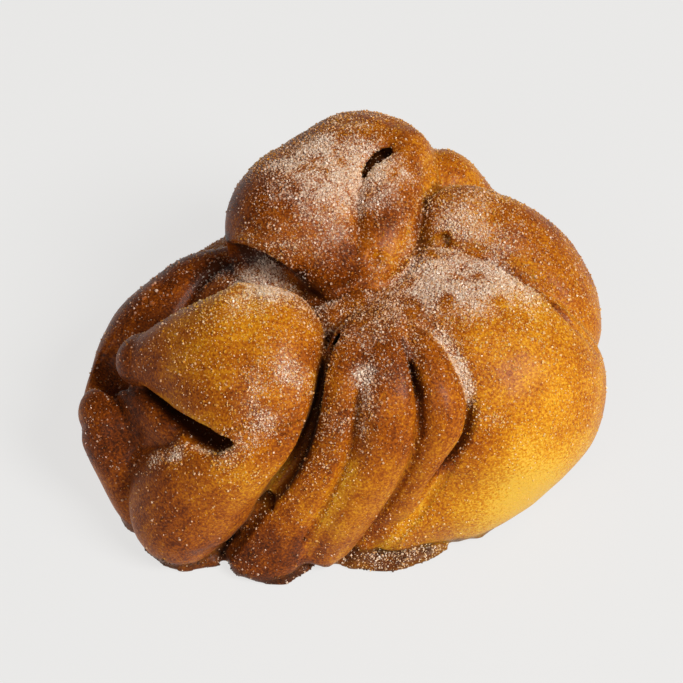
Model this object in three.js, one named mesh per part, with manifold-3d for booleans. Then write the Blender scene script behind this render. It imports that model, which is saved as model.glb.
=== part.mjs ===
// A cinnamon twist: a rope of sweet dough wound into a knot and baked into one piece.
// Millimetres, +Z up. The origin is under the middle of the bun, on the tray it was baked on.
import * as THREE from "three";
import { mergeVertices } from "three/addons/utils/BufferGeometryUtils.js";
import Module from "manifold-3d";

// Driving dimensions
const HEART = new THREE.Vector3(0, -3, 12); // the strands lie round this point
const STRAND_SIDES = 18; // sides of a strand's round section
const HOLLOW_SIDES = 12; // the same for a hollow
const RINGS_PER_SPAN = 4; // rings between two stations of a strand
const CAP_RINGS = 3; // rings of a strand's rounded end
const FULLNESS = 2.25; // exponent of the section: 2 is an ellipse, more is squarer
const UNEVEN = 0.025; // share of a strand's radius that the proofed dough wanders

// Each strand of the knot: stations [x, y, z of the axis, width, thickness].
const STRANDS = {
  hood: [
    [0, 0, 36, 13, 13], [-1.5, 4.5, 38.5, 20, 24], [-6.5, 11.6, 39.4, 32.5, 31],
    [-6, 18.3, 37.8, 31.5, 30], [-2.5, 24.2, 35.8, 31, 29.4],
  ],
  nape: [[-1, 22, 34.5, 27, 27], [6, 28.2, 37, 33.4, 31], [8, 32, 25, 35, 26], [6, 32, 10, 32, 24]],
  tuck: [
    [4.8, -1.9, 34, 7, 10], [5.8, 0.1, 36.4, 11, 14], [6.8, 3, 38.3, 15, 18], [7.3, 6.8, 40.3, 16.5, 20],
    [8, 12.4, 42, 17, 20], [9.3, 20.5, 42.5, 17, 20], [11.5, 26, 40.5, 17, 20], [13, 29.5, 32, 17, 20],
    [13.5, 31, 23, 17, 20],
  ],
  shoulder: [[14, 28, 35.2, 22.6, 22.6], [20.5, 26.9, 32.9, 22, 22], [29.5, 23, 24.5, 21, 21]],
  band: [
    [16.5, 14, 36.5, 16, 17], [25.4, 13.3, 36.2, 22.6, 22.5], [34.8, 9, 31.8, 26.5, 26],
    [41.2, 1.4, 25.6, 27, 26], [43, -5, 17, 22, 22], [42, -11, 8, 22, 22],
  ],
  crest: [[10, 0, 33, 16, 16], [18, 3.5, 35, 16, 16], [26, 2.5, 34.5, 16, 17]],
  bridge: [[9, -7, 34, 14, 14], [0, -10.5, 35, 14, 14], [-8, -11, 33, 14, 14]],
  ridge_left: [
    [4, -13, 33, 10, 14], [2, -18, 37.5, 10, 15.5], [1, -23.5, 38, 10, 16], [0.2, -28.5, 33, 10.5, 16],
    [-2.5, -32.5, 24.5, 11.5, 16], [-10, -36.5, 12, 14, 16], [-15.3, -39.5, 0, 17.6, 15.6],
  ],
  ridge_middle: [
    [9.5, -10, 32, 12, 14], [8, -16, 37.5, 12.5, 15], [8.5, -22.5, 39.3, 13, 16],
    [9.2, -29, 36.8, 14, 16], [8, -33, 29.2, 14.5, 16], [3, -35.5, 18, 14, 16], [-3.5, -36.4, 4, 14, 16],
  ],
  ridge_right: [
    [12, -13, 31, 9, 12], [14, -19, 37.5, 11, 15], [16.7, -24.6, 38, 13.2, 15],
    [18.5, -29.3, 34.2, 13, 16], [15.6, -32, 26, 12, 15], [11, -34, 15, 10, 14], [5, -35, 3, 9, 14],
  ],
  apron: [[35, -15.5, 13, 25.4, 23.6], [25.6, -25.8, 8.2, 26, 24], [11, -32, 5, 22, 20]],
  lobe: [
    [-15, -19.5, 34.5, 35, 27.5], [-22, -19, 34, 34, 27], [-30, -16, 32.5, 23, 21],
    [-39, -13, 29, 13, 13],
  ],
  flank: [
    [-14, -20, 25, 14, 16], [-12.5, -26.5, 29, 17, 19], [-16, -32, 26.5, 18, 21], [-24, -34, 18, 27, 22],
    [-30, -34, 9, 27.4, 22], [-31.4, -34.2, 1, 21.4, 19.4],
  ],
  heel: [
    [-47, -16.4, 21, 12.4, 13.6], [-45.8, -20, 17, 13.6, 15.6], [-41.8, -24, 10, 14.4, 15.4],
    [-36.5, -28.5, 2, 15, 15],
  ],
  tongue: [
    [-41, -14, 22, 13, 14], [-34.5, -21.5, 22.5, 17, 15], [-27, -29, 21.5, 17, 15],
    [-22, -32, 21, 12, 12],
  ],
  side: [
    [-12, 14, 22, 22, 20], [-21, 13.2, 20.7, 22, 20.6], [-31, 9.6, 19.2, 22.4, 20.6],
    [-39.6, 1.6, 17.9, 21.6, 19.8], [-44, -9.4, 15.8, 16, 16.4], [-46.5, -16, 15, 14, 15],
  ],
  wrap: [
    [-33, 8, 11, 22, 22], [-20, 22, 11, 24, 24], [-2, 31, 12, 26, 26], [18, 28, 12, 26, 26],
    [36, 16, 12, 24, 24],
  ],
  foot_left: [[-39, -37.4, 0.5, 4, 5], [-33, -41.9, 0.5, 5, 6], [-26.5, -40.8, 0.5, 5, 6]],
  foot_front: [
    [-22.6, -40.4, 0, 4, 4], [-18.8, -43.8, 0, 4, 5], [-11.5, -45.2, 0, 4, 5], [-6.3, -42.5, 0, 4, 4],
  ],
  foot_right: [
    [-1, -39.8, 0.8, 4, 7], [7, -40.4, 0.8, 4.6, 8], [15, -38.9, 0.8, 4.6, 8], [21, -36.8, 0.8, 3.6, 6],
  ],
};
// Hollows that stayed open between the strands, given the same way.
const HOLLOWS = {
  hood_gap: [
    [5, 18.8, 49.4, 6, 2], [5.8, 22.2, 50.2, 8, 2.6], [8.2, 25.6, 50.8, 8, 2.4], [11.8, 28.2, 50.3, 8, 2],
    [15.2, 29.6, 48.9, 5, 1.4],
  ],
  mouth: [
    [-40, -18, 29.5, 1.6, 8], [-36, -22.5, 30, 3, 12], [-28.5, -31, 31.5, 6, 14],
    [-24, -34, 31.5, 5.5, 14], [-20.5, -35.5, 33, 3, 10],
  ],
  heel_pit: [
    [-46, -5.5, 25.5, 6, 6], [-47.5, -8.5, 22.5, 8, 9], [-48.5, -12, 20, 8, 8], [-48, -15.5, 18.5, 5, 5],
  ],
  crevice: [
    [1, -15, 41, 1.6, 4], [-1.5, -21.5, 44, 1.8, 6], [-3.4, -25.9, 40.5, 2.2, 9],
    [-5.2, -31, 35, 2.8, 12], [-8, -35, 28, 3.8, 15], [-12, -38, 23.5, 4.4, 15],
    [-16, -40.5, 21, 3.2, 12],
  ],
  ridge_edge: [
    [25.6, -29.4, 37.5, 1, 2], [24.5, -34.6, 33.5, 1.8, 5], [21.3, -37.2, 29.5, 2, 6],
    [18.5, -38.8, 24.5, 1.4, 4], [15.5, -40.2, 18.5, 1, 2],
  ],
  gully: [[-22.5, 8, 37.5, 6, 6], [-18, 3, 41, 8, 8], [-13.3, -0.5, 40.5, 8, 8], [-9.5, -2.5, 38.5, 5, 5]],
};
// Rounded masses under the strands: centre and radii.
const LOBES = {
  core: { centre: [0, -1, 17], radii: [38, 33, 22] },
  base: { centre: [0, -2, 5], radii: [43, 36, 12] },
  nook: { centre: [-37, -15, 14], radii: [10, 12, 12] },
  cheek: { centre: [25.3, -11, 20], radii: [29.2, 26.6, 25.8] },
};
const LOBE_SIDES = 24; // sides of a lobe round its upright axis
const LOBE_RINGS = 16; // rings of a lobe from pole to pole
const MIDDLE = [0.29, -1.05]; // middle of the bun's outline seen from above, moved to the origin
const TRAY = 300; // side of the block below the base that trims the bun flat
const CRUST = 0xa8631f; // baked golden brown

const wasm = await Module();
wasm.setup();

// A closed geometry as a solid that can be joined and cut.
function solidOf(geometry) {
  const bare = geometry.clone();
  bare.deleteAttribute("normal");
  bare.deleteAttribute("uv");
  const merged = mergeVertices(bare, 1e-4);
  return new wasm.Manifold(
    new wasm.Mesh({
      numProp: 3,
      vertProperties: new Float32Array(merged.attributes.position.array),
      triVerts: new Uint32Array(merged.index.array),
    }),
  );
}

// A point of the strand's section at angle a, before it is scaled to width and thickness.
function sectionPoint(a, along, seed) {
  const round = (v) => Math.sign(v) * Math.abs(v) ** (2 / FULLNESS);
  const wander = 1 + UNEVEN * (Math.sin(2 * a + seed + 4 * along) + Math.sin(3 * a - 2 * seed - 6 * along));
  return [round(Math.cos(a)) * wander, round(Math.sin(a)) * wander];
}

// The strand's path and girth: where it runs, which way is outward, how wide and thick it is.
function courseOf(stations) {
  const smooth = (points) => new THREE.CatmullRomCurve3(points, false, "catmullrom");
  const path = smooth(stations.map(([x, y, z]) => new THREE.Vector3(x, y, z)));
  const girth = smooth(stations.map(([, , , width, thickness]) => new THREE.Vector3(width, thickness, 0)));
  return (t) => {
    const centre = path.getPoint(t);
    const along = path.getTangent(t);
    const out = centre.clone().sub(HEART);
    out.addScaledVector(along, -out.dot(along)).normalize();
    const across = along.clone().cross(out);
    const { x: width, y: thickness } = girth.getPoint(t);
    return { centre, along, out, across, width, thickness, cap: Math.min(width, thickness) / 2 };
  };
}

// The strand's rings from tip to tip: t runs along the path, bulge 0 to 1 through the rounded end.
function ringsOf(stations) {
  const spans = RINGS_PER_SPAN * (stations.length - 1);
  const end = Array.from({ length: CAP_RINGS }, (_, i) => Math.cos((((i + 0.5) / CAP_RINGS) * Math.PI) / 2));
  return [
    ...end.map((bulge) => ({ t: 0, bulge: -bulge })),
    ...Array.from({ length: spans + 1 }, (_, i) => ({ t: i / spans, bulge: 0 })),
    ...end.toReversed().map((bulge) => ({ t: 1, bulge })),
  ];
}

// One strand of dough: a rounded section swept along a smooth path, with rounded ends.
function strand(stations, seed, sides) {
  const course = courseOf(stations);
  const rings = ringsOf(stations);
  const positions = [];
  const put = (f, x, y, z) => {
    const point = f.centre.clone().addScaledVector(f.across, x).addScaledVector(f.out, y);
    point.addScaledVector(f.along, z);
    positions.push(point.x, point.y, point.z);
  };
  const [first, last] = [course(0), course(1)];
  put(first, 0, 0, -first.cap);
  for (const { t, bulge } of rings) {
    const f = course(t);
    const shrink = Math.sqrt(1 - bulge ** 2);
    for (let side = 0; side < sides; side++) {
      const [x, y] = sectionPoint((side / sides) * 2 * Math.PI, t, seed);
      put(f, (x * shrink * f.width) / 2, (y * shrink * f.thickness) / 2, bulge * f.cap);
    }
  }
  put(last, 0, 0, last.cap);

  const vertex = (ring, side) => 1 + ring * sides + (side % sides);
  const tip = positions.length / 3 - 1;
  const index = [];
  for (let side = 0; side < sides; side++) {
    index.push(0, vertex(0, side), vertex(0, side + 1));
    for (let ring = 0; ring + 1 < rings.length; ring++) {
      const [a, b] = [vertex(ring, side), vertex(ring, side + 1)];
      const [c, d] = [vertex(ring + 1, side), vertex(ring + 1, side + 1)];
      index.push(a, d, b, a, c, d);
    }
    index.push(tip, vertex(rings.length - 1, side + 1), vertex(rings.length - 1, side));
  }
  const geometry = new THREE.BufferGeometry();
  geometry.setAttribute("position", new THREE.Float32BufferAttribute(positions, 3));
  geometry.setIndex(index);
  return geometry;
}

function lobe({ centre, radii }) {
  const geometry = new THREE.SphereGeometry(1, LOBE_SIDES, LOBE_RINGS);
  geometry.scale(...radii);
  geometry.translate(...centre);
  return geometry;
}

// The outer skin of a solid: pockets shut in between the strands fill up as the dough rises.
function outside(solid) {
  return solid.decompose().reduce((outer, piece) => (piece.volume() > outer.volume() ? piece : outer));
}

// All strands baked together, the hollows left open, the base trimmed flat on the tray.
function knot() {
  const tray = new THREE.BoxGeometry(TRAY, TRAY, TRAY);
  tray.translate(0, 0, -TRAY / 2);
  const masses = Object.values(LOBES).map(lobe);
  const strands = Object.values(STRANDS).map((stations, seed) => strand(stations, seed, STRAND_SIDES));
  const hollows = Object.values(HOLLOWS).map((stations, seed) => strand(stations, seed, HOLLOW_SIDES));
  const dough = [...masses, ...strands].map(solidOf).reduce((whole, piece) => whole.add(piece));
  return [...hollows, tray].map(solidOf).reduce((whole, piece) => whole.subtract(piece), outside(dough));
}

const { vertProperties, triVerts } = knot().getMesh();
const crust = new THREE.BufferGeometry();
crust.setAttribute("position", new THREE.Float32BufferAttribute(vertProperties, 3));
crust.setIndex(Array.from(triVerts));
crust.translate(-MIDDLE[0], -MIDDLE[1], 0);
crust.computeVertexNormals();
const bun = new THREE.Mesh(
  crust,
  new THREE.MeshStandardMaterial({ color: CRUST, roughness: 0.5, metalness: 0 }),
);
bun.name = "bun";

const twist = new THREE.Group();
twist.add(bun);
export default twist;
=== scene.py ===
"""A cinnamon twist: a knotted sweet bun with a glossy crust, dusted with granulated sugar."""
import math

import bpy
import numpy as np
import openvdb
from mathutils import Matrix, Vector


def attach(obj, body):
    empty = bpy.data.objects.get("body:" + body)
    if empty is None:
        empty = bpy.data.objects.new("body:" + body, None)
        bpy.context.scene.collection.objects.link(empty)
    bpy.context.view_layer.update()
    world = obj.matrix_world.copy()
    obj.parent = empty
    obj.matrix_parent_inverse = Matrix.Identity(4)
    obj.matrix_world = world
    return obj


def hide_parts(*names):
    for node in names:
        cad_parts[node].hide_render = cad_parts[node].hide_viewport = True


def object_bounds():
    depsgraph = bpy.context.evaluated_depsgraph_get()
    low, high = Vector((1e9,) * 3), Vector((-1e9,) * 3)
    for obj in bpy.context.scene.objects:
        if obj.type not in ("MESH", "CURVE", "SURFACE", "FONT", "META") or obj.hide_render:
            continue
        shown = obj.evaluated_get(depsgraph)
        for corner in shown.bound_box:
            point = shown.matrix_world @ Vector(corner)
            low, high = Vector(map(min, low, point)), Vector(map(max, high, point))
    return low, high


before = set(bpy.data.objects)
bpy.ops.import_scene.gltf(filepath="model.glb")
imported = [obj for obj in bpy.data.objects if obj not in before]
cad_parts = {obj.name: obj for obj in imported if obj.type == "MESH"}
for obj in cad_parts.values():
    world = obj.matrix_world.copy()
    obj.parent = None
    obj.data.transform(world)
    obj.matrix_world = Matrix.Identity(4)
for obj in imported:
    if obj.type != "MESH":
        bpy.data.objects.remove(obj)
cad_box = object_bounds()

# Driving sizes, in millimetres in the knot's own frame, whose middle is moved to the origin
MM = 0.001
HEART = np.array([0.0, -3.0, 12.0])  # the strands lie round this point
MIDDLE = np.array([0.29, -1.05, 0.0])  # middle of the bun's outline seen from above
FULLNESS = 2.25  # exponent of a strand's section: 2 is an ellipse, more is squarer
UNEVEN = 0.025  # share of a strand's radius that the proofed dough wanders

# How finely the dough is worked out
VOXEL = 0.65  # spacing of its grid
MARGIN = 8.0  # room round the bun on that grid
RIM = 1.001  # keeps a place inside the grid's last cell
FAR = 9.0  # distance that stands for anywhere away from a strand
CLOSE = FAR / 3  # only places this close to the skin are made uneven
STEPS = 12  # samples of a strand's path between two stations
CHUNK = 40000  # about how many points are measured against a path at one time
REFINEMENTS = 2  # times that a point's place between two samples is bettered
SLACK = 0.7  # how many samples that place may lie from the nearest one
LEAST_FILL = 0.01  # keeps the distance finite on a strand's axis

# Each strand of the knot: stations [x, y, z of the axis, width, thickness]
STRANDS = {
    "hood": [
        [0, 0, 36, 13, 13], [-1.5, 4.5, 38.5, 20, 24], [-6.5, 11.6, 39.4, 32.5, 31],
        [-6, 18.3, 37.8, 31.5, 30], [-2.5, 24.2, 35.8, 31, 29.4],
    ],
    "nape": [
        [-1, 22, 34.5, 27, 27], [6, 28.2, 37, 33.4, 31], [8, 32, 25, 35, 26], [6, 32, 10, 32, 24],
    ],
    "tuck": [
        [4.8, -1.9, 34, 7, 10], [5.8, 0.1, 36.4, 11, 14], [6.8, 3, 38.3, 15, 18], [7.3, 6.8, 40.3, 16.5, 20],
        [8, 12.4, 42, 17, 20], [9.3, 20.5, 43.2, 17, 20], [11.5, 26, 41.4, 17, 20], [13, 29.5, 32, 17, 20],
        [13.5, 31, 23, 17, 20],
    ],
    "shoulder": [[14, 28, 35.2, 22.6, 22.6], [20.5, 26.9, 32.9, 22, 22], [29.5, 23, 24.5, 21, 21]],
    "band": [
        [16.5, 14, 36.5, 16, 17], [25.4, 13.3, 36.2, 22.6, 22.5], [34.8, 9, 31.8, 26.5, 26],
        [41.2, 1.4, 25.6, 27, 26], [43, -5, 17, 22, 22], [42, -11, 8, 22, 22],
    ],
    "crest": [[10, 0, 33, 16, 16], [18, 3.5, 35, 16, 16], [26, 2.5, 34.5, 16, 17]],
    "bridge": [[9, -7, 34, 14, 14], [0, -10.5, 35, 14, 14], [-8, -11, 33, 14, 14]],
    "ridge_left": [
        [4, -13, 33, 10, 14], [2, -18, 37.5, 10, 15.5], [1, -23.5, 38, 10, 16], [0.2, -28.5, 33, 10.5, 16],
        [-2.5, -32.5, 24.5, 11.5, 16], [-10, -36.5, 12, 14, 16], [-15.3, -39.5, 0, 17.6, 15.6],
    ],
    "ridge_middle": [
        [9.5, -10, 32, 12, 14], [8, -16, 37.5, 12.5, 15], [8.5, -22.5, 39.3, 13, 16],
        [9.2, -29, 36.8, 14, 16], [8, -33, 29.2, 14.5, 16], [3, -35.5, 18, 14, 16], [-3.5, -36.4, 4, 14, 16],
    ],
    "ridge_right": [
        [12, -13, 31, 9, 12], [14, -19, 37.5, 11, 15], [16.7, -24.6, 38, 13.2, 15],
        [18.5, -29.3, 34.2, 13, 16], [15.6, -32, 26, 12, 15], [11, -34, 15, 10, 14], [5, -35, 3, 9, 14],
    ],
    "apron": [[34.5, -15.2, 13, 25, 23.4], [25.6, -25.8, 8.2, 26, 24], [11, -32, 5, 22, 20]],
    "lobe": [
        [-15, -19.5, 34.5, 35, 27.5], [-22, -19, 34, 34, 27], [-30, -16, 32.5, 23, 21],
        [-39, -13, 29, 13, 13],
    ],
    "flank": [
        [-14, -20, 25, 14, 16], [-12.5, -26.5, 29, 17, 19], [-17.2, -31.4, 27, 16.4, 21],
        [-25.6, -32.8, 19, 23, 22], [-31.8, -33, 9.8, 25.2, 22], [-32, -34, 1, 20, 19.4],
    ],
    "heel": [
        [-47.8, -17.4, 18.6, 12.4, 12.6], [-45.8, -20, 17, 13.6, 15.6], [-42, -24.6, 9.8, 15, 15.6],
        [-37.6, -29.4, 2, 15.4, 15],
    ],
    "tongue": [
        [-41, -14, 22, 13, 14], [-34.5, -21.5, 22.5, 17, 15], [-27, -29, 21.5, 17, 15],
        [-22, -32, 21, 12, 12],
    ],
    "side": [
        [-12, 14, 22, 22, 20], [-21, 13.2, 20.7, 22, 20.6], [-31, 9.6, 19.2, 22.4, 20.6],
        [-38.8, 1.8, 17.7, 21, 19.6], [-44.4, -9.8, 15.6, 16.2, 16.2], [-46.6, -16, 15, 14, 15],
    ],
    "wrap": [
        [-33, 8, 11, 22, 22], [-20, 22, 11, 24, 24], [-2, 31, 12, 26, 26], [18, 28, 12, 26, 26],
        [36, 16, 12, 24, 24],
    ],
    "foot_left": [[-39, -37.4, 0.5, 4, 5], [-33, -41.9, 0.5, 5, 6], [-26.5, -40.8, 0.5, 5, 6]],
    "foot_front": [
        [-22.6, -40.4, 0, 4, 4], [-18.8, -43.8, 0, 4, 5], [-11.5, -45.2, 0, 4, 5], [-6.3, -42.5, 0, 4, 4],
    ],
    "foot_right": [
        [-1, -39.8, 0.8, 4, 7], [7, -40.4, 0.8, 4.6, 8], [15, -38.9, 0.8, 4.6, 8], [21, -36.8, 0.8, 3.6, 6],
    ],
}
# Rounded masses under the strands: centre and radii
LOBES = {
    "core": ([0, -1, 17], [38, 33, 22]),
    "base": ([0, -2, 5], [43, 36, 12]),
    "nook": ([-37, -15, 14], [10, 12, 12]),
    "cheek": ([25.3, -11, 20], [29.2, 26.6, 25.8]),
}
# Hollows that stayed open between the strands, given as strands
HOLLOWS = {
    "hood_gap": [
        [5.1, 19, 49.5, 6, 2], [6, 22.4, 50.2, 8, 2.6], [8.8, 25.2, 50.6, 7, 2.2], [13.4, 27.2, 49.8, 5, 1.6],
    ],
    "mouth": [
        [-38.5, -19.8, 29.6, 1, 5], [-35, -23.6, 30, 1.6, 8], [-28.6, -30.8, 31.2, 4.6, 13],
        [-24, -34, 31.5, 5.5, 14], [-20.5, -35.5, 33, 3, 10],
    ],
    "heel_pit": [
        [-46, -5.5, 25.5, 6, 6], [-47.5, -9, 23.4, 9, 9], [-45, -13, 23.4, 8, 8], [-42, -16, 25.5, 4, 4],
    ],
    "crevice": [
        [1, -15, 41, 1.4, 4], [-1.5, -21.5, 44, 1.2, 5], [-3.4, -25.9, 40.5, 1.6, 7], [-5.2, -31, 35, 2.4, 9],
        [-8.4, -35.4, 28, 3.8, 9], [-12, -38.4, 22.5, 4.2, 8], [-15, -40, 18.5, 3, 6],
    ],
    "flank_edge": [
        [-15, -40.4, 18.5, 2, 5], [-17.8, -41.6, 13, 1.8, 4], [-20.8, -42.6, 8, 1.6, 4],
        [-23.5, -43, 3, 1.4, 3],
    ],
    "flank_hole": [[-16.4, -38.2, 16.8, 1.5, 6], [-13.4, -37.8, 16.8, 1.5, 6]],
    "crack": [[13.6, -25.4, 44.6, 1.4, 4], [14.6, -28.8, 43.2, 1.3, 5], [15.3, -31, 41.2, 1.2, 3]],
    "ridge_edge": [
        [25.6, -29.4, 37.5, 1, 2], [24.5, -33.4, 33, 2, 5], [21.8, -36.2, 29, 2.4, 6],
        [18.5, -38.8, 24.5, 1.4, 4], [15.5, -40.2, 18.5, 1, 2],
    ],
    "furrow": [
        [3.6, -31, 42, 1.2, 1.6], [2.6, -36.2, 35, 1.4, 2], [0, -39.8, 27, 1.4, 2],
        [-4, -42.3, 18, 1.4, 2], [-7.6, -43.6, 10.5, 1.2, 1.6],
    ],
    "gully": [
        [-22.5, 8, 37.5, 6, 6], [-18, 3, 41, 8, 8], [-13.3, -0.5, 40.5, 8, 8], [-9.5, -2.5, 38.5, 5, 5],
    ],
    "band_seam": [
        [24.6, 4.6, 43, 0.8, 1.6], [28, 2.6, 43.2, 1.1, 2.6], [33.6, -0.6, 42, 1.2, 3],
        [40.3, -5, 40.6, 1.2, 3], [44.3, -8.3, 39, 1.2, 3], [47.8, -10.4, 36, 1, 2.4],
        [51.8, -10.6, 30.4, 0.8, 1.6],
    ],
    "band_pit": [[20.6, 8, 43.4, 1.6, 2.5], [22.2, 8.2, 42.8, 1.6, 2.5]],
    "tuck_pit": [[7.2, -0.3, 47, 1.2, 3], [7.6, -0.5, 46.8, 1.2, 3]],
}
# Strands that grew together: how far they blend, and which they are. Between groups there is a seam.
GROUPS = {
    "belly": (6.0, ("core", "base", "nook", "cheek", "apron", "crest")),
    "hood": (6.0, ("hood", "nape")),
    "tuck": (1.0, ("tuck",)),
    "shoulder": (1.0, ("shoulder",)),
    "band": (1.0, ("band",)),
    "bridge": (1.0, ("bridge",)),
    "ridges": (2.5, ("ridge_left", "ridge_middle")),
    "ridge_right": (1.0, ("ridge_right",)),
    "lobe": (6.0, ("lobe", "flank")),
    "heel": (1.0, ("heel",)),
    "tongue": (1.0, ("tongue",)),
    "side": (3.0, ("side",)),
    "wrap": (3.0, ("wrap",)),
    "feet": (1.0, ("foot_left", "foot_front", "foot_right")),
}
# Places where a seam closed up as the dough rose: centre, radius, and how far the strands blend there
MELTS = (
    ([9, -13, 41], 10.0, 8.0),
    ([2, -10, 38], 7.0, 4.0),
    ([4, -1, 43], 8.0, 5.0),
    ([4, -25, 44], 10.0, 6.0),
    ([-43, -25, 19], 9.0, 3.5),
    ([14, 29, 49], 7.0, 4.0),
)
MELT_CORE = 0.4  # share of its radius within which a seam closed up wholly
SEAM_DEPTH = 0.9  # how much deeper a seam is than the meeting of the two round strands
SEAM_WIDTH = 1.1  # half its width
HOLLOW_RIM = 1.0  # how far the rim of a hollow is rounded
SWELLS = ((16.0, 0.6), (6.5, 0.22), (2.8, 0.06))  # wavelength and height of the dough's unevenness
FLAKES = (2.4, 0.8)  # the same for the burnt foot
FOOT_HEIGHT = 3.5  # the burnt foot is about this high
FLAKES_END = 1.2  # where its flakes end, in foot heights
BURNT_END = 1.3  # where its burnt sugar ends, in foot heights
SOFTENING = 0.15  # share that each neighbour has in a softened distance
SKY_RAYS = 28  # directions in which a place looks for dough that shelters it
SKY_REACHES = (1.6, 3.5, 7.0)  # how far it looks
SKY_EDGE = 0.4  # how deep in dough a look is fully shut off, and how far from it fully open
LATTICE = 32  # random values along each side of a noise lattice


def smooth_step(low, high, value):
    """0 below low, 1 above high, smooth between."""
    share = np.clip((value - low) / (high - low), 0.0, 1.0)
    return share * share * (3.0 - 2.0 * share)


def between_corners(values, cell, share):
    """Grid values at places a share of the way through a cell; past its end the grid starts again."""
    total = np.zeros(len(cell))
    for corner in np.ndindex(2, 2, 2):
        weight = np.prod(np.where(corner, share, 1.0 - share), axis=1)
        x, y, z = ((cell + corner) % values.shape).T
        total += weight * values[x, y, z]
    return total


def soft_noise(points, wavelength, seed):
    """Seeded smooth noise from -1 to 1 whose bumps are about one wavelength wide."""
    lattice = np.random.default_rng(seed).uniform(-1.0, 1.0, (LATTICE,) * 3)
    cell = np.floor(points / wavelength).astype(int)
    return between_corners(lattice, cell, smooth_step(0.0, 1.0, points / wavelength - cell))


def smooth_curve(points, t):
    """A smooth curve through the points and its slope, at t counted in stations."""
    ends = np.vstack([2 * points[0] - points[1], points, 2 * points[-1] - points[-2]])
    i = np.minimum(t.astype(int), len(points) - 2)
    w = (t - i)[:, None]
    before, here, there, after = ends[i], ends[i + 1], ends[i + 2], ends[i + 3]
    lead, trail = (there - before) / 2, (after - here) / 2
    place = (2 * w**3 - 3 * w**2 + 1) * here + (w**3 - 2 * w**2 + w) * lead
    place += (3 * w**2 - 2 * w**3) * there + (w**3 - w**2) * trail
    slope = (6 * w**2 - 6 * w) * (here - there) + (3 * w**2 - 4 * w + 1) * lead + (3 * w**2 - 2 * w) * trail
    return place, slope


class Strand:
    """One strand of dough: a rounded section swept along a smooth path, with rounded ends."""

    def __init__(self, stations, seed):
        stations = np.array(stations, float)
        spans = len(stations) - 1
        t = np.linspace(0, spans, STEPS * spans + 1)
        self.seed = seed
        self.centre, slope = smooth_curve(stations[:, :3], t)
        self.half = smooth_curve(stations[:, 3:], t)[0] / 2
        speed = np.linalg.norm(slope, axis=1, keepdims=True)
        self.along = slope / speed
        self.pace = speed[:, 0] / STEPS
        out = self.centre - HEART
        out -= self.along * np.sum(out * self.along, axis=1, keepdims=True)
        self.out = out / np.linalg.norm(out, axis=1, keepdims=True)
        self.across = np.cross(self.along, self.out)
        reach = self.half.max() + FAR / 2
        self.low, self.high = self.centre.min(0) - reach, self.centre.max(0) + reach

    def nearest(self, points):
        """The index of the path sample that is nearest to each point."""
        chunks = np.array_split(points.astype(np.float32), max(1, len(points) // CHUNK))
        path = self.centre.astype(np.float32)
        square = np.sum(path**2, axis=1)
        return np.concatenate([np.argmin(square - 2 * chunk @ path.T, axis=1) for chunk in chunks])

    def local(self, points):
        """Each point in the strand's own terms: across, outward, past the end, half sizes, place along."""
        i = self.nearest(points)
        ahead = np.sum((points - self.centre[i]) * self.along[i], axis=1)
        last = len(self.centre) - 1
        past = np.where((i == 0) & (ahead < 0) | (i == last) & (ahead > 0), np.abs(ahead), 0.0)
        first_place, last_place = np.maximum(i - SLACK, 0), np.minimum(i + SLACK, last)
        place = np.clip(i + ahead / self.pace[i], first_place, last_place)
        for _ in range(REFINEMENTS):
            offset = points - self.between(self.centre, place)
            ahead = np.sum(offset * self.between(self.along, place), axis=1)
            place = np.clip(place + ahead / self.pace[i], first_place, last_place)
        offset = points - self.between(self.centre, place)
        across = np.sum(offset * self.between(self.across, place), axis=1)
        outward = np.sum(offset * self.between(self.out, place), axis=1)
        return across, outward, past, self.between(self.half, place), place / last

    def between(self, values, place):
        """Values kept for the path samples, at places between them."""
        low = np.minimum(place.astype(int), len(values) - 2)
        share = (place - low)[:, None]
        return values[low] * (1 - share) + values[low + 1] * share

    def distance(self, points):
        """Signed distance to the strand's skin, less than 0 inside."""
        across, outward, past, half, place = self.local(points)
        angle = np.arctan2(outward / half[:, 1], across / half[:, 0])
        # Two slow waves round the section, which turn as the strand goes on
        wander = np.sin(2 * angle + self.seed + 4 * place) + np.sin(3 * angle - 2 * self.seed - 6 * place)
        section = (np.abs(across) / half[:, 0]) ** FULLNESS + (np.abs(outward) / half[:, 1]) ** FULLNESS
        fill = section ** (1 / FULLNESS) / (1 + UNEVEN * wander)
        fill = np.sqrt(fill**2 + (past / half.min(axis=1)) ** 2)
        reach = np.sqrt(across**2 + outward**2 + past**2)
        return reach - reach / np.maximum(fill, LEAST_FILL)


class Lobe:
    """A rounded mass of dough."""

    def __init__(self, centre, radii):
        self.centre, self.radii = np.array(centre, float), np.array(radii, float)
        self.low, self.high = self.centre - self.radii - FAR / 2, self.centre + self.radii + FAR / 2

    def distance(self, points):
        """Signed distance to the mass's skin, less than 0 inside."""
        offset = points - self.centre
        reach = np.linalg.norm(offset, axis=1)
        fill = np.linalg.norm(offset / self.radii, axis=1)
        return reach - reach / np.maximum(fill, LEAST_FILL)


def blend(a, b, width):
    """The smaller of two distances, rounded over where they are within width of each other."""
    overlap = np.maximum(width - np.abs(a - b), 0.0) / width
    return np.minimum(a, b) - overlap**2 * width / 4


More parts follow.
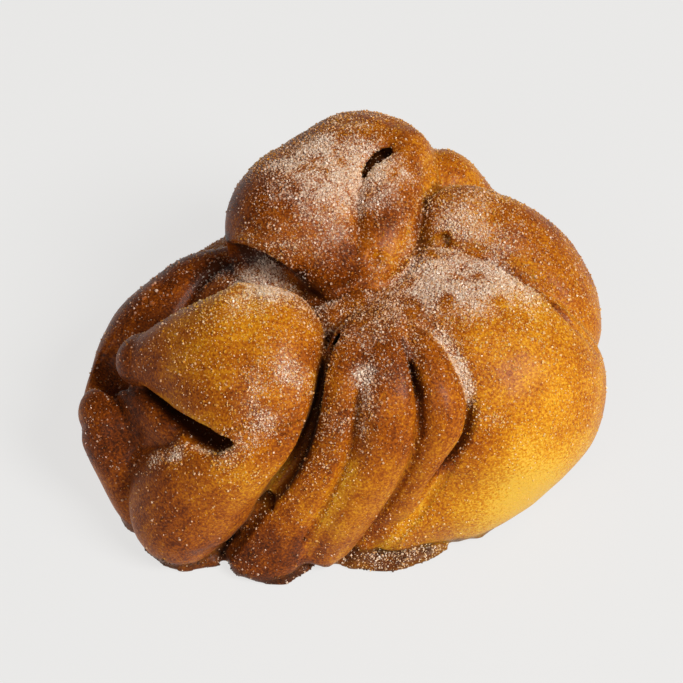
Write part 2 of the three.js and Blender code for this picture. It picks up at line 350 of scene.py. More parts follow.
class Dough:
    """The knot worked out on a grid of distances to its skin, less than 0 inside."""

    def __init__(self):
        self.low = np.array(cad_box[0]) / MM + MIDDLE - MARGIN
        high = np.array(cad_box[1]) / MM + MIDDLE + MARGIN
        self.axes = [np.arange(a, b, VOXEL) for a, b in zip(self.low, high)]
        self.shape = tuple(len(axis) for axis in self.axes)
        self.strands = {name: Strand(stations, i) for i, (name, stations) in enumerate(STRANDS.items())}
        self.skin = self.joined()
        for i, stations in enumerate(HOLLOWS.values()):
            cut, distance = self.distances(Strand(stations, i))
            self.skin[cut] = -blend(-self.skin[cut], distance, HOLLOW_RIM)
        self.roughen()
        self.soften()
        height = self.axes[2][None, None, :]
        self.skin = np.maximum(self.skin, -height)

    def joined(self):
        """Distances to the strands and masses grown together, with seams between their groups."""
        masses = {name: Lobe(*lobe) for name, lobe in LOBES.items()}
        near = np.full(self.shape, FAR)
        second = np.full(self.shape, FAR)
        for width, names in GROUPS.values():
            group = np.full(self.shape, FAR)
            for name in names:
                cut, distance = self.distances(self.strands.get(name) or masses[name])
                group[cut] = blend(group[cut], distance, width)
            second = np.minimum(second, np.maximum(near, group))
            near = np.minimum(near, group)
        gap = second - near
        groove = SEAM_DEPTH * np.exp(-((gap / SEAM_WIDTH) ** 2))
        for centre, radius, width in MELTS:
            melt = 1 - smooth_step(MELT_CORE, 1.0, self.away(centre) / radius)
            near = near - melt * np.maximum(width - gap, 0.0) ** 2 / (4 * width)
            groove = groove * (1 - melt)
        return near + groove

    def distances(self, piece):
        """The part of the grid round a piece, and the piece's distances there."""
        spans = zip(self.axes, piece.low, piece.high)
        cut = tuple(slice(*np.searchsorted(axis, (low, high))) for axis, low, high in spans)
        axes = [axis[span] for axis, span in zip(self.axes, cut)]
        points = np.stack(np.meshgrid(*axes, indexing="ij"), axis=-1)
        return cut, piece.distance(points.reshape(-1, 3)).reshape(points.shape[:3])

    def away(self, centre):
        """How far every place on the grid is from one point."""
        x, y, z = np.ix_(*[axis - c for axis, c in zip(self.axes, centre)])
        return np.sqrt(x**2 + y**2 + z**2)

    def soften(self):
        """Takes the saw-teeth off edges that are finer than the grid."""
        for axis in range(3):
            around = np.roll(self.skin, 1, axis) + np.roll(self.skin, -1, axis)
            self.skin = self.skin * (1 - 2 * SOFTENING) + around * SOFTENING

    def roughen(self):
        """Makes the skin uneven, as risen dough is."""
        close = np.nonzero(np.abs(self.skin) < CLOSE)
        points = np.stack([axis[i] for axis, i in zip(self.axes, close)], axis=-1)
        for seed, (wavelength, height) in enumerate(SWELLS):
            self.skin[close] -= height * soft_noise(points, wavelength, seed)
        flaky = smooth_step(0, 1, FLAKES_END - points[:, 2] / FOOT_HEIGHT)
        wavelength, height = FLAKES
        self.skin[close] -= height * flaky * soft_noise(points, wavelength, len(SWELLS))

    def sample(self, points):
        """Distances to the skin at any points."""
        place = np.clip((points - self.low) / VOXEL, 0, np.array(self.shape) - RIM)
        cell = place.astype(int)
        return between_corners(self.skin, cell, place - cell)

    def shelter(self, points, normals):
        """How much of what each point of the skin faces is shut off by dough close by, from 0 to 1."""
        faced, shut = np.zeros(len(points)), np.zeros(len(points))
        # The rays are spread evenly by turning a golden angle from each to the next
        for turn in range(SKY_RAYS):
            height = 1 - (2 * turn + 1) / SKY_RAYS
            angle = turn * math.pi * (3 - math.sqrt(5))
            flat = math.sqrt(1 - height**2)
            ray = np.array([flat * math.cos(angle), flat * math.sin(angle), height])
            facing = np.maximum(normals @ ray, 0.0)
            least = np.min([self.sample(points + reach * ray) for reach in SKY_REACHES], axis=0)
            faced += facing
            shut += facing * smooth_step(-SKY_EDGE, SKY_EDGE, -least)
        return shut / faced

    def surface(self):
        """The skin as points and four-sided faces, without pockets shut in between the strands."""
        grid = openvdb.FloatGrid(FAR)
        grid.copyFromArray(self.skin)
        points, quads = grid.convertToQuads(0.0)
        keep = largest_island(len(points), quads)
        number = np.cumsum(keep) - 1
        quads = number[quads[keep[quads[:, 0]]]]
        return points[keep] * VOXEL + self.low, quads


def largest_island(count, faces):
    """Which points belong to the largest connected surface."""
    label = np.arange(count)
    edges = np.concatenate([faces[:, [0, 1]], faces[:, [1, 2]], faces[:, [2, 3]], faces[:, [3, 0]]])
    while True:
        lowest = label.copy()
        np.minimum.at(lowest, edges[:, 0], label[edges[:, 1]])
        np.minimum.at(lowest, edges[:, 1], label[edges[:, 0]])
        lowest = lowest[lowest]
        if np.array_equal(lowest, label):
            return label == np.bincount(label).argmax()
        label = lowest


def new_mesh(name, points, faces):
    """A mesh object in metres in the shared frame, from points in the knot's millimetres."""
    mesh = bpy.data.meshes.new(name)
    mesh.from_pydata(((points - MIDDLE) * MM).tolist(), [], faces.tolist())
    mesh.update()
    piece = bpy.data.objects.new(name, mesh)
    bpy.context.collection.objects.link(piece)
    return piece


def normals_of(mesh):
    """The mesh's normals at its points."""
    flat = np.empty(len(mesh.vertices) * 3)
    mesh.vertex_normals.foreach_get("vector", flat)
    return flat.reshape(-1, 3)


# Where the crust baked paler (less than 0) or darker than its middle brown, and where shade and a highlight
# are painted on it: centre or path, radius, amount
BAKE_MIDDLE = 0.5
BAKE_AND_PAINTED_LIGHT_SPOTS = (
    ([42, -32, 18], 22, -0.36),  # right side, the palest
    ([36, -36, 10], 12, -0.3),
    ([35, -18, 41], 13, -0.18),
    ([27, -34.5, 29], 5, 0.14),
    ([30, 10, 46], 12, -0.12),  # band
    ([47, -2, 37], 10, -0.12),
    ([22, 32, 40], 12, -0.2),  # shoulder
    ([-22, -20, 49], 14, -0.25),  # back of the lobe
    ([-41, -16, 33], 8, 0.22),  # tip of the lobe
    ([-37, -26, 27], 9, 0.12),  # tongue
    ([-49, -24, 20], 14, 0.2),  # heel
    ([-35, 9, 29], 13, 0.2),  # side
    ([-20, 10, 46], 12, 0.15),  # left of the hood
    ([9, 31, 52], 8, -0.1),
    ([-2, -3, 41], 9, 0.2),  # hood's tucked end
    # Painted shade in the gap below the hood's brim
    ([[6, 22.4, 50.2], [8.8, 25.2, 50.6], [13.4, 27.2, 49.8]], 1.6, 0.4),  # gap below its brim
    ([9, 10, 50], 7, 0.1),  # tuck and its paler right edge
    ([[15.4, 12, 49], [14, 7.5, 48.6], [12.4, 3.4, 47.4], [10.4, -0.1, 45.4]], 1.4, -0.12),
    ([[17, 13, 46.5], [16, 7, 45.5]], 2.0, 0.25),
    ([20, -29, 42], 6, 0.12),  # right ridge
    # Painted shade along the crack between the middle and right ridges
    ([[12.5, -21.9, 46.5], [14, -27.8, 44.4], [15.3, -31.3, 41.6], [16.2, -36.1, 35.3]], 1.0, 0.35),
    # Painted shade in the cleft beside the right ridge
    ([[24.5, -31.7, 34.3], [22.6, -34.4, 29.8], [19.2, -37.2, 24.4]], 1.4, 0.4),  # cleft beside it
    # Bare layers beside the ridges
    ([[19.4, -37.1, 22.3], [15.6, -39.3, 13.9], [12.1, -41.3, 10.1], [8.7, -41.1, 4.3]], 1.8, -0.28),
    ([[2.4, -39.3, 29.8], [-0.4, -41.7, 23.2], [-3.2, -43.1, 16.7], [-6.6, -44.4, 6.9]], 1.5, -0.24),
    # Painted shade in the seam below the band
    ([[27.7, 3, 43.8], [35.7, -0.5, 41.6], [40.2, -4.5, 41.3], [47.5, -10.9, 37]], 1.1, 0.3),
    # Painted shadow below the hood
    ([[-22.5, 9.5, 40.6], [-18.5, 8.4, 38.1], [-13.2, 4.5, 41.5], [-8.1, -1.1, 42.7]], 2.0, 0.7),
    ([[-48, -6, 21], [-46, -12, 23]], 4, 0.2),  # painted shade in the hollow above the heel
    ([[-11, -35, 25], [-13, -36, 20.4], [-15, -38, 17]], 2.2, -0.25),  # bare layer behind the flank
    ([[-27.8, 8.5, 30.3], [-25.4, 10.5, 31.1], [-22.5, 10, 33.5]], 2.2, 0.7),  # painted shade, beside the gully
    # Painted highlight along the rim of the mouth, and the flank below its right end
    ([[-40, -19.6, 30.9], [-34.9, -25.1, 33], [-31, -29.7, 35], [-26.7, -33.4, 35.6]], 0.8, -0.2),
    ([-19, -41, 29], 7, -0.14),
    ([[-31.5, -25, 27.7], [-25, -30.8, 27.4]], 3.0, 0.6),  # painted shade inside the mouth
    ([-16, -44, 6], 8, 0.3),  # ends of the ridges
    ([-32, -43, 13], 10, 0.1),  # flank
    ([7, -26, 45], 9, 0.14),  # tops of the ridges
)
# Where more or less sugar fell than the thin cover everywhere: centre or path, radius, amount
SUGAR_THIN = 0.06
SUGAR_SPOTS = (
    ([-2, 14, 55], 12, 2.0),  # top of the hood
    ([-6, 22, 54], 9, 1.0),
    ([-8, 8, 47], 8, 0.35),
    ([3, 29, 54], 7, 0.3),
    ([-20, 10, 46], 9, -0.6),
    ([11, 31, 52], 6, -0.25),
    ([[6, 22.4, 50.2], [8.8, 25.2, 50.6], [13.4, 27.2, 49.8]], 1.6, -1.5),
    ([7.5, 19, 50.5], 6, 1.5),  # tuck
    ([11, 8, 50], 6, -0.3),
    ([22, -4, 44.8], 13, 2.0),  # top of the cheek
    ([29, -31.5, 34.5], 3, 0.8),
    ([43, -25, 26], 4, 0.5),
    ([34, -5, 44], 5, 1.6),
    ([27, 12, 46], 9, 0.6),  # band
    ([47, 0, 37], 8, 0.2),
    ([-15, -10, 49], 7, 1.5),  # top edge of the lobe
    ([[-9.5, -28.7, 44], [-13.5, -31.5, 42.5], [-15.5, -35.5, 37], [-19.5, -38.5, 31]], 4.5, 1.1),
    ([-22, -21, 48], 13, 0.3),
    ([-16.5, 2, 40.5], 6.5, 4.5),  # gully behind the lobe
    ([-25, 9.5, 31.5], 4, 0.5),
    ([6, -22, 46], 9, 0.8),  # ridges
    ([[4.8, -28.8, 44.7], [5.2, -32.9, 42.1], [4.5, -36, 38.2]], 2.4, 1.8),
    ([[-1, -33, 38], [-3, -39, 30]], 5, 0.6),
    # Right of the ridges
    ([[19.6, -19.3, 44], [22.5, -23.1, 42.5], [24.6, -27.2, 39.7], [25.4, -29.3, 37]], 1.2, 5.0),
    ([[-36.6, -33.3, 22.9], [-31.5, -35.4, 27.9], [-26.5, -35.9, 29.6]], 1.5, 2.2),  # below the tongue
    ([-37, -25, 28], 6, -0.15),
    ([12, -41, 2.5], 10, 0.9),  # flake at the foot
    ([-3, -11, 41], 6, 0.9),
    ([-20, 28, 22], 12, 0.6),  # back
    ([6, 40, 40], 10, 0.6),
)
# Where sugar and crumb stuck together: centre, radius, lumps per square millimetre
LUMP_SPOTS = (
    ([-39.3, 5.3, 29.2], 2.5, 0.25),
    ([-40.7, 2.9, 28.8], 2.5, 0.2),
    ([22.6, 5.6, 43], 2.0, 0.35),
    ([47, -10.5, 37.5], 1.5, 0.3),
)
# The fibres of the dough, drawn out along each strand
FIBRE_REACH = 1.5  # a point further than this from every strand has no fibres
FIBRE_STRETCH = 5.0  # length of a fibre over its width
FIBRE_SHIFT = 20.0  # keeps the patterns of two strands apart
PLAIN = ("apron", "crest", "nape")  # strands that grew into others, without fibres of their own
PLAIN_SCALE = 1.5  # scale of the pattern where there are no fibres
# How baking, the burnt foot and the sugar vary: wavelength and seed of soft noise, then its strength
BAKE_NOISE = (9.0, 22)
BAKE_CLOUDY = 0.12
TOP_BAKE = 0.1  # besides, how much darker a place that faces up is
FOOT_NOISE = (4.0, 21)
FOOT_RAGGED = 0.5  # in foot heights
BURNT_NOISE = (2.0, 25)
BURNT_MIDDLE = 0.75
BURNT_SPREAD = 0.25
PATCH_NOISE = (3.5, 23)
PATCH_MIDDLE = 0.5
PATCH_SPREAD = 0.5
SMALL_PATCH_NOISE = (1.4, 24)
SMALL_PATCH_SPREAD = 0.35
PATCH_LEAST = 0.25  # what is left of the cover between the patches
PATCH_GAIN = 1.5  # what the thickest patch adds to that
# Where sugar and burnt sugar lie; up is the upward part of the skin's normal
FLAKE_BURNT = (0.2, 1.2)  # range of distance from a flake at the foot over which burnt sugar ends
SUGAR_LIES = (0.1, 0.8)  # range of up over which the cover grows to the whole
SUGAR_STEEP = 0.25  # share of the cover below that range
SUGAR_STICKS = (-0.3, 0.1)  # range of up below which none sticks
SUGAR_SHUT_OUT = (0.5, 0.75)  # range of shelter above which none falls in
DUSTY = (0.4, 2.5)  # range of cover over which the crust between the grains turns dusty
FOOT_DUSTLESS = 0.7  # share of that dust which is missing on the burnt foot


def away_squared(points, path):
    """The square of each point's distance to a path of straight runs."""
    least = np.sum((points - path[0]) ** 2, axis=1)
    for start, end in zip(path[:-1], path[1:]):
        run = end - start
        share = np.clip((points - start) @ run / (run @ run), 0, 1)[:, None]
        least = np.minimum(least, np.sum((points - start - share * run) ** 2, axis=1))
    return least


def spots(points, table):
    """The sum of soft spots at some points; a spot with several centres is a streak along them."""
    total = np.zeros(len(points))
    for centres, radius, amount in table:
        path = np.atleast_2d(np.array(centres, float))
        total += amount * np.exp(-away_squared(points, path) / radius**2)
    return total


def store(mesh, name, values):
    """Keeps one number for each point of a mesh, for its material to read."""
    mesh.attributes.new(name, "FLOAT", "POINT").data.foreach_set("value", values.astype(np.float32))


def fibres(dough, points):
    """Places measured along and round the strand a point lies on, drawn out along it as its fibres are."""
    nearest = np.full(len(points), FIBRE_REACH)
    place = points * PLAIN_SCALE
    for strand in (strand for name, strand in dough.strands.items() if name not in PLAIN):
        distance = strand.distance(points)
        here = distance < nearest
        across, outward, _, half, along = strand.local(points[here])
        length = np.sum(strand.pace)
        girth = np.arctan2(across, outward) * half.mean(axis=1)
        shift = np.full(len(girth), FIBRE_SHIFT * strand.seed)
        place[here] = np.stack([along * length / FIBRE_STRETCH, girth, shift], axis=1)
        nearest[here] = distance[here]
    return place.astype(np.float32)


def burnt_foot(dough, points):
    """How far each place belongs to the burnt foot, from 0 to 1."""
    ragged = FOOT_RAGGED * soft_noise(points, *FOOT_NOISE)
    foot = smooth_step(0, 1, BURNT_END - points[:, 2] / FOOT_HEIGHT + ragged)
    for name in GROUPS["feet"][1]:
        foot = np.maximum(foot, 1 - smooth_step(*FLAKE_BURNT, dough.strands[name].distance(points)))
    return foot


def sugar_cover(points, up, shelter):
    """How thick the sugar lies at each place."""
    cover = np.maximum(SUGAR_THIN + spots(points, SUGAR_SPOTS), 0)
    cover *= SUGAR_STEEP + (1 - SUGAR_STEEP) * smooth_step(*SUGAR_LIES, up)
    cover *= smooth_step(*SUGAR_STICKS, up)
    patch = PATCH_MIDDLE + PATCH_SPREAD * soft_noise(points, *PATCH_NOISE)
    patch += SMALL_PATCH_SPREAD * soft_noise(points, *SMALL_PATCH_NOISE)
    cover *= PATCH_LEAST + PATCH_GAIN * np.clip(patch, 0, 1)
    return cover * (1 - smooth_step(*SUGAR_SHUT_OUT, shelter))


def make_bun(dough):
    """The bun's skin, painted with how baked, sheltered, burnt and dusty each place is, with painted shade in
    its hollows and a painted highlight on the mouth's rim.
    """
    points, quads = dough.surface()
    bun = new_mesh("bun_crust", points, quads)
    mesh = bun.data
    mesh.polygons.foreach_set("use_smooth", np.ones(len(quads), bool))
    normals = normals_of(mesh)
    up = normals[:, 2]
    shelter = dough.shelter(points, normals)
    foot = burnt_foot(dough, points)
    bake_and_painted_light = BAKE_MIDDLE + spots(points, BAKE_AND_PAINTED_LIGHT_SPOTS) + TOP_BAKE * up
    bake_and_painted_light += BAKE_CLOUDY * soft_noise(points, *BAKE_NOISE)
    cover = sugar_cover(points, up, shelter)
    store(mesh, "bake_and_painted_light", bake_and_painted_light)
    store(mesh, "shelter", shelter)
    fibre = mesh.attributes.new("fibre", "FLOAT_VECTOR", "POINT")
    fibre.data.foreach_set("vector", fibres(dough, points).ravel())
    store(mesh, "burnt", foot * (BURNT_MIDDLE + BURNT_SPREAD * soft_noise(points, *BURNT_NOISE)))
    store(mesh, "dust", smooth_step(*DUSTY, cover) * (1 - FOOT_DUSTLESS * foot))
    skin = {"points": points, "quads": quads, "normals": normals, "bake_and_painted_light": bake_and_painted_light, "cover": cover, "foot": foot}
    return bun, skin


def turns(count, random):
    """Random rotations, one matrix each."""
    q = random.normal(size=(count, 4))
    w, x, y, z = (q / np.linalg.norm(q, axis=1, keepdims=True)).T
    rows = [
        [1 - 2 * (y * y + z * z), 2 * (x * y - w * z), 2 * (x * z + w * y)],
        [2 * (x * y + w * z), 1 - 2 * (x * x + z * z), 2 * (y * z - w * x)],
        [2 * (x * z - w * y), 2 * (y * z + w * x), 1 - 2 * (x * x + y * y)],
    ]
    return np.moveaxis(np.array(rows), 2, 0)


# Shapes of loose grains about 1 across: corners and faces
CUBE = (
    np.array([[x, y, z] for x in (-0.5, 0.5) for y in (-0.5, 0.5) for z in (-0.5, 0.5)]),
    np.array([[0, 1, 3, 2], [4, 6, 7, 5], [0, 4, 5, 1], [2, 3, 7, 6], [0, 2, 6, 4], [1, 5, 7, 3]]),
)
SPLINTER = (
    np.array([[1, 1, 1], [1, -1, -1], [-1, 1, -1], [-1, -1, 1]]) * 0.5,
    np.array([[0, 1, 2], [0, 3, 1], [0, 2, 3], [1, 3, 2]]),
)
GOLDEN = (1 + math.sqrt(5)) / 2
LUMP = (
    np.array([
        [-1, GOLDEN, 0], [1, GOLDEN, 0], [-1, -GOLDEN, 0], [1, -GOLDEN, 0], [0, -1, GOLDEN], [0, 1, GOLDEN],
        [0, -1, -GOLDEN], [0, 1, -GOLDEN], [GOLDEN, 0, -1], [GOLDEN, 0, 1], [-GOLDEN, 0, -1], [-GOLDEN, 0, 1],
    ]) / (2 * GOLDEN),
    np.array([
        [0, 11, 5], [0, 5, 1], [0, 1, 7], [0, 7, 10], [0, 10, 11], [1, 5, 9], [5, 11, 4], [11, 10, 2],
        [10, 7, 6], [7, 1, 8], [3, 9, 4], [3, 4, 2], [3, 2, 6], [3, 6, 8], [3, 8, 9], [4, 9, 5],
        [2, 4, 11], [6, 2, 10], [8, 6, 7], [9, 8, 1],
    ]),
)
GRAIN_STRETCH = (0.75, 1.25)  # least and greatest side of a grain over its size
GRAIN_LIFT = 0.25  # how far its middle stands off the crust, over its size
CLEAR_SPREAD = 0.35  # how much clearer or cloudier a grain may be than is usual at its place


def scatter(name, skin, shape, sizes, density, clear, seed):
    """Loose grains over the bun: their shape, least and greatest size, number per square millimetre
    and how clear they are, from 0 for white to 1 for the colour of the crust below, for each point."""
    random = np.random.default_rng(seed)
    body, faces = shape
    quads = skin["quads"]
    corners = skin["points"][quads]
    spans = corners[:, 2] - corners[:, 0], corners[:, 3] - corners[:, 1]
    area = np.linalg.norm(np.cross(*spans), axis=1) / 2
    chosen = np.repeat(np.arange(len(quads)), random.poisson(area * density[quads].mean(axis=1)))
    count = len(chosen)
    u, v = random.uniform(size=(2, count))
    weight = np.stack([(1 - u) * (1 - v), u * (1 - v), u * v, (1 - u) * v], axis=1)[:, :, None]
    place = np.sum(corners[chosen] * weight, axis=1)
    outward = np.sum(skin["normals"][quads[chosen]] * weight, axis=1)
    size = sizes[0] + (sizes[1] - sizes[0]) * random.uniform(size=count) ** 2
    scale = size[:, None] * random.uniform(*GRAIN_STRETCH, (count, 3))
    grains = np.einsum("nij,nkj->nki", turns(count, random), body[None] * scale[:, None, :])
    grains += (place + outward * size[:, None] * GRAIN_LIFT)[:, None, :]
    numbers = faces[None] + (np.arange(count) * len(body))[:, None, None]
    piece = new_mesh(name, grains.reshape(-1, 3), numbers.reshape(-1, faces.shape[1]))
    spread = random.uniform(-CLEAR_SPREAD, CLEAR_SPREAD, count)
    tint = np.clip(clear[quads[chosen]].mean(axis=1) + spread, 0, 1)
    store(piece.data, "clear", np.repeat(tint, len(body)))
    store(piece.data, "bake_and_painted_light", np.repeat(skin["bake_and_painted_light"][quads[chosen]].mean(axis=1), len(body)))
    return piece


NOISE_SPREAD = (0.3, 0.7)  # nearly all of a shader's noise lies between these


class Shader:
    """A material's node tree, with short ways to add nodes and join them."""

    def __init__(self, name):
        self.material = bpy.data.materials.new(name)
        self.material.use_nodes = True
        self.tree = self.material.node_tree
        self.surface = self.tree.nodes["Principled BSDF"]

    def node(self, kind, inputs, output=0, **settings):
        """One output of a new node."""
        node = self.tree.nodes.new(kind)
        for key, value in settings.items():
            setattr(node, key, value)
        self.join(node, inputs)
        return node.outputs[output]

    def join(self, node, inputs):
        """Links or sets a node's inputs."""
        for key, value in inputs.items():
            if isinstance(value, bpy.types.NodeSocket):
                self.tree.links.new(value, node.inputs[key])
            else:
                node.inputs[key].default_value = value

    def number(self, name):
        """A number that is kept for each point of the mesh."""
        return self.node("ShaderNodeAttribute", {}, "Fac", attribute_name=name)

    def math(self, operation, a, b):
        return self.node("ShaderNodeMath", {0: a, 1: b}, operation=operation)

    def noise(self, width, detail=2.0, roughness=0.5, place=None):
        """Noise whose bumps are about width millimetres wide."""
        place = place or self.node("ShaderNodeTexCoord", {}, "Object")
        scale = 1 / (width * MM)
        settings = {"Vector": place, "Scale": scale, "Detail": detail, "Roughness": roughness}
        return self.node("ShaderNodeTexNoise", settings, "Fac")

    def between(self, value, low, high, to_low=0.0, to_high=1.0):
        """A value from low to high, turned into one from to_low to to_high."""
        limits = {"Value": value, "From Min": low, "From Max": high, "To Min": to_low, "To Max": to_high}
        return self.node("ShaderNodeMapRange", limits, "Result")

    def vary(self, noise, to_low=0.0, to_high=1.0):
        """Noise spread out from to_low to to_high."""
        return self.between(noise, *NOISE_SPREAD, to_low, to_high)

    def mix(self, share, a, b):
        return self.node("ShaderNodeMix", {0: share, 6: a, 7: b}, 2, data_type="RGBA", blend_type="MIX")

    def ramp(self, value, stops):
        """The colour at a value between stops of place and colour."""
        node = self.tree.nodes.new("ShaderNodeValToRGB")
        for _ in range(len(stops) - 2):
            node.color_ramp.elements.new(0.5)
        for element, (place, colour) in zip(node.color_ramp.elements, stops):
            element.position = place
            element.color = (*colour, 1)
        self.tree.links.new(value, node.inputs["Fac"])
        return node.outputs["Color"]

    def bump(self, height, depth):
        """Relief of some depth in millimetres."""
        return self.node("ShaderNodeBump", {"Height": height, "Strength": 1.0, "Distance": depth * MM})


# Crust from the palest crumb to the darkest glaze, as linear colours
CRUST = (
    (0.0, (0.80, 0.45, 0.042)),
    (0.12, (0.71, 0.325, 0.014)),
    (0.25, (0.60, 0.22, 0.006)),
    (0.5, (0.37, 0.088, 0.003)),
    (0.75, (0.17, 0.032, 0.002)),
    (1.0, (0.05, 0.010, 0.001)),
)
# Painted shade for sheltered seams and for the deepest folds
PAINTED_SEAM_SHADE_COLOUR = (0.06, 0.016, 0.003, 1)
PAINTED_DEEP_SHADE_COLOUR = (0.014, 0.004, 0.001, 1)
BURNT_COLOUR = (0.035, 0.014, 0.007, 1)
SUGAR_COLOUR = (0.97, 0.79, 0.62, 1)
CRUMB_COLOURS = ((0.0, (0.02, 0.008, 0.004)), (1.0, (0.13, 0.045, 0.012)))
# Patterns: width in millimetres, detail and roughness of the noise, and how much paler or darker it makes
BLOTCH, BLOTCH_TONE = (5.0, 3.0), 0.12
SPECK, SPECK_TONE = (0.5, 3.0, 0.65), 0.25
FIBRE, FIBRE_TONE = (1.6 / MM, 3.0, 0.6), 0.09  # the fibres' places are in millimetres already
FINE = (0.4, 3.0, 0.6)
POWDER = (0.35, 2.0)
CLOUD, CLOUD_TONE = (0.4,), 0.1
CRUMB = (0.6, 3.0)
# How colour, gloss and relief follow what is kept for each point
PALE_CALM = (0.1, 0.5, 0.4, 1.0)  # range of baking, and of the strength of blotches and fibres
SEAM_SHADE = (0.3, 0.7, 0.0, 0.75)  # range of shelter, and of the share of painted seam shade
DEEP_SHADE = (0.65, 0.9, 0.0, 0.92)  # range of shelter, and of the share of painted shade deep in a fold
POWDER_EDGE = (0.42, 0.62)  # range of noise from bare crust to powder
GLAZE_ROUGHNESS = (0.3, 0.5)
DUST_ROUGHNESS = 0.25  # what dust adds to that
DUST_SHARE = 0.4  # of the sugar's colour where dust lies
BURNT_SHARE = 0.9  # of the burnt colour where the foot is burnt
CRUST_RELIEF = 0.16  # millimetres
CRUMB_RELIEF = 0.1
CLEAR_PALER = -0.3  # clear grains look less baked than the crust below by this


def crust_material():
    """Baked dough with painted shade in its seams and folds, burnt at the foot and dusty where sugar lies."""
    shader = Shader("crust")
    blotch = shader.vary(shader.noise(*BLOTCH), -BLOTCH_TONE, BLOTCH_TONE)
    speck = shader.vary(shader.noise(*SPECK), -SPECK_TONE, SPECK_TONE)
    place = shader.node("ShaderNodeAttribute", {}, "Vector", attribute_name="fibre")
    fibre = shader.noise(*FIBRE, place)
    streak = shader.vary(fibre, -FIBRE_TONE, FIBRE_TONE)
    bake_and_painted_light = shader.number("bake_and_painted_light")
    calm = shader.between(bake_and_painted_light, *PALE_CALM)
    mottle = shader.math("MULTIPLY", shader.math("ADD", blotch, streak), calm)
    tone = shader.math("ADD", bake_and_painted_light, shader.math("ADD", mottle, speck))
    colour = shader.ramp(tone, CRUST)
    # Painted shade where the skin is sheltered: darker in seams, near black deep in folds
    shelter = shader.number("shelter")
    colour = shader.mix(shader.between(shelter, *SEAM_SHADE), colour, PAINTED_SEAM_SHADE_COLOUR)
    colour = shader.mix(shader.between(shelter, *DEEP_SHADE), colour, PAINTED_DEEP_SHADE_COLOUR)
    colour = shader.mix(shader.math("MULTIPLY", shader.number("burnt"), BURNT_SHARE), colour, BURNT_COLOUR)
    powder = shader.between(shader.noise(*POWDER), *POWDER_EDGE)
    dust = shader.math("MULTIPLY", shader.number("dust"), powder)
    colour = shader.mix(shader.math("MULTIPLY", dust, DUST_SHARE), colour, SUGAR_COLOUR)
    fine = shader.noise(*FINE)
    rough = shader.vary(fine, *GLAZE_ROUGHNESS)
    shader.join(shader.surface, {
        "Base Color": colour,
        "Roughness": shader.math("ADD", rough, shader.math("MULTIPLY", dust, DUST_ROUGHNESS)),
        "Normal": shader.bump(shader.math("ADD", fine, fibre), CRUST_RELIEF),
        "Subsurface Weight": 0.08,
        "Subsurface Radius": (0.9, 0.35, 0.1),
        "Subsurface Scale": 0.002,
        "Specular IOR Level": 0.08,
        "Coat Weight": 0.06,
        "Coat Roughness": 0.2,
        "Sheen Weight": 0.03,
        "Sheen Roughness": 0.35,
        "Sheen Tint": (1.0, 0.86, 0.76, 1),
    })
    return shader.material


def sugar_material():
    """Clear grains show the crust below them, cloudy ones are white."""
    shader = Shader("sugar")
    below = shader.ramp(shader.math("ADD", shader.number("bake_and_painted_light"), CLEAR_PALER), CRUST)
    cloud = shader.vary(shader.noise(*CLOUD), -CLOUD_TONE, CLOUD_TONE)
    shader.join(shader.surface, {
        "Base Color": shader.mix(shader.math("ADD", shader.number("clear"), cloud), SUGAR_COLOUR, below),
        "Roughness": 0.3,
        "Subsurface Weight": 0.3,
        "Subsurface Radius": (1.0, 0.9, 0.7),
        "Subsurface Scale": 0.0004,
    })
    return shader.material


def crumb_material():
    """Burnt sugar, from nearly black to dark brown."""
    shader = Shader("caramel")
    grain = shader.vary(shader.noise(*CRUMB))
    shader.join(shader.surface, {
        "Base Color": shader.ramp(grain, CRUMB_COLOURS),
        "Roughness": 0.35,
        "Normal": shader.bump(grain, CRUMB_RELIEF),
    })
    return shader.material


# The camera looks down on the bun from the side with the open ridges
FRAME_PIXELS = 683
PIXELS_PER_MM = 4.8
CAMERA_ELEVATION = math.radians(50)
CAMERA_DISTANCE = 0.52  # metres
CAMERA_TARGET = Vector((0.3, 0.0, 20.5) - MIDDLE) * MM
SENSOR = 36.0  # millimetres wide
# Soft studio light: each lamp's place and side in metres, and power in watts
LAMPS = {
    "key": ((0.92, -0.56, 1.12), 0.7, 27.0),
    "fill": ((-0.6, -1.2, 1.0), 0.8, 5.0),
}
LAMP_TARGET = (0, 0, 0.02)
WORLD_STRENGTH = 0.12
FLOOR_REACH = 3.0  # half the floor's side in metres


def light(name, place, size, power):
    """A square lamp that faces the bun."""
    lamp = bpy.data.lights.new(name, "AREA")
    lamp.size = size
    lamp.energy = power
    lamp_object = bpy.data.objects.new(name, lamp)
    lamp_object.location = place
    lamp_object.rotation_euler = (Vector(LAMP_TARGET) - Vector(place)).to_track_quat("-Z", "Y").to_euler()
    bpy.context.collection.objects.link(lamp_object)


def make_world():
    """Faint white light from all round."""
    world = bpy.data.worlds.new("studio")
    world.use_nodes = True
    background = world.node_tree.nodes["Background"]
    background.inputs["Color"].default_value = (1, 1, 1, 1)
    background.inputs["Strength"].default_value = WORLD_STRENGTH
    bpy.context.scene.world = world


def make_camera():
    """A camera whose frame has the scale given above at its target."""
    camera = bpy.data.objects.new("camera", bpy.data.cameras.new("camera"))
    camera.data.sensor_width = SENSOR
    camera.data.lens = SENSOR * CAMERA_DISTANCE / (FRAME_PIXELS / PIXELS_PER_MM * MM)
    back = Vector((0, -math.cos(CAMERA_ELEVATION), math.sin(CAMERA_ELEVATION)))
    camera.location = CAMERA_TARGET + back * CAMERA_DISTANCE
    camera.rotation_euler = (math.pi / 2 - CAMERA_ELEVATION, 0, 0)
    bpy.context.collection.objects.link(camera)
    bpy.context.scene.camera = camera


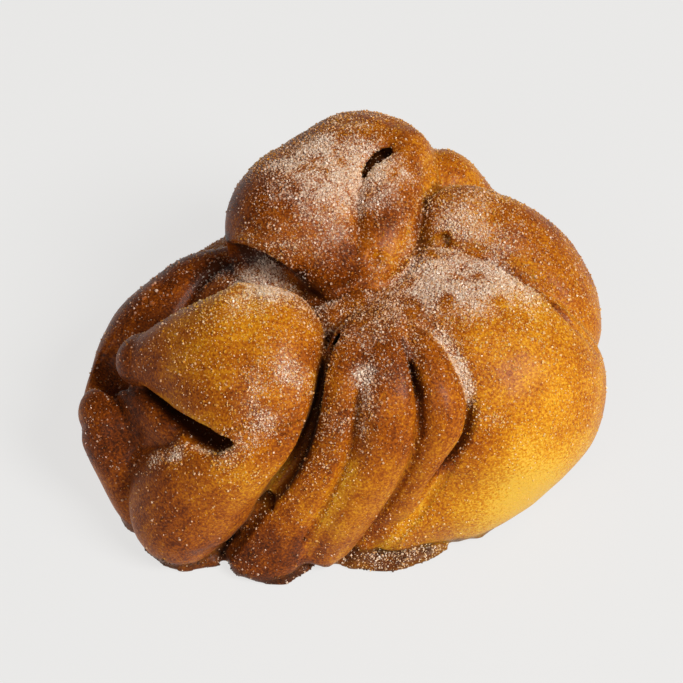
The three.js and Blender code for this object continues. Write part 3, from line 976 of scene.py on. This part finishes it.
def make_floor():
    """A pale floor that glows a little, so that the bun's shadow on it stays faint."""
    corners = np.array([[-1, -1, 0], [1, -1, 0], [1, 1, 0], [-1, 1, 0]]) * FLOOR_REACH
    floor = new_mesh("floor", corners / MM + MIDDLE, np.array([[0, 1, 2, 3]]))
    shader = Shader("floor")
    shader.join(shader.surface, {
        "Base Color": (0.1, 0.099, 0.098, 1),
        "Roughness": 0.9,
        "Emission Color": (1.0, 0.993, 0.98, 1),
        "Emission Strength": 0.71,
    })
    floor.data.materials.append(shader.material)


# Loose pieces: least and greatest size in millimetres
GRAIN_SIZES = (0.16, 0.37)
POWDER_SIZES = (0.13, 0.28)
LUMP_SIZES = (0.5, 1.1)
CRUMB_SIZES = (0.2, 0.5)
# Their number per square millimetre, where the cover is 1 or the foot wholly burnt
GRAINS_PER_COVER = 2.3
POWDER_PER_COVER = 5.2
CRUMBS_PER_FOOT = 0.25
# Besides, some powder lies nearly everywhere
STRAY_UP = (0.0, 0.6)  # range of up over which it grows to 1 per square millimetre
STRAY_ALONG = (-40.0, -5.0)  # range from left to right over which it grows too
STRAY_LEFT = 0.3  # its share at the left of that range
# Crumbs end in this range from left to right
CRUMBS_END = (12.0, 20.0)
# How clear grains are
CLEAR_LONE = 0.85  # a lone one
CLEAR_LOST = 0.5  # less in thick cover
CLEAR_LOST_OVER = (0.2, 2.2)  # range of cover over which that is lost
CLEAR_LOST_FOOT = 0.3  # less on the burnt foot

bpy.context.scene.view_settings.view_transform = "Standard"
make_camera()
make_floor()
for name, (place, size, power) in LAMPS.items():
    light(name, place, size, power)
make_world()

dough = Dough()
bun, skin = make_bun(dough)
cover, foot, across = skin["cover"], skin["foot"], skin["points"][:, 0]
stray = smooth_step(*STRAY_UP, skin["normals"][:, 2])
stray *= STRAY_LEFT + (1 - STRAY_LEFT) * smooth_step(*STRAY_ALONG, across)
clear = CLEAR_LONE - CLEAR_LOST * smooth_step(*CLEAR_LOST_OVER, cover) - CLEAR_LOST_FOOT * foot
grains = GRAINS_PER_COVER * cover
powder = POWDER_PER_COVER * cover + stray
lumped = spots(skin["points"], LUMP_SPOTS)
crumbly = CRUMBS_PER_FOOT * foot * (1 - smooth_step(*CRUMBS_END, across))
sugar_grains = scatter("sugar_grains", skin, CUBE, GRAIN_SIZES, grains, clear, seed=1)
sugar_powder = scatter("sugar_powder", skin, SPLINTER, POWDER_SIZES, powder, clear, seed=2)
sugar_lumps = scatter("sugar_lumps", skin, LUMP, LUMP_SIZES, lumped, clear, seed=4)
burnt_crumbs = scatter("burnt_crumbs", skin, LUMP, CRUMB_SIZES, crumbly, clear, seed=3)
sugar, crumb = sugar_material(), crumb_material()
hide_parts("bun")
for piece, slot, material in (
    (bun, "crust", crust_material()),
    (sugar_grains, "sugar", sugar),
    (sugar_powder, "sugar", sugar),
    (sugar_lumps, "sugar", sugar),
    (burnt_crumbs, "caramel", crumb),
):
    piece.data.materials.append(material)
    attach(piece, "root")
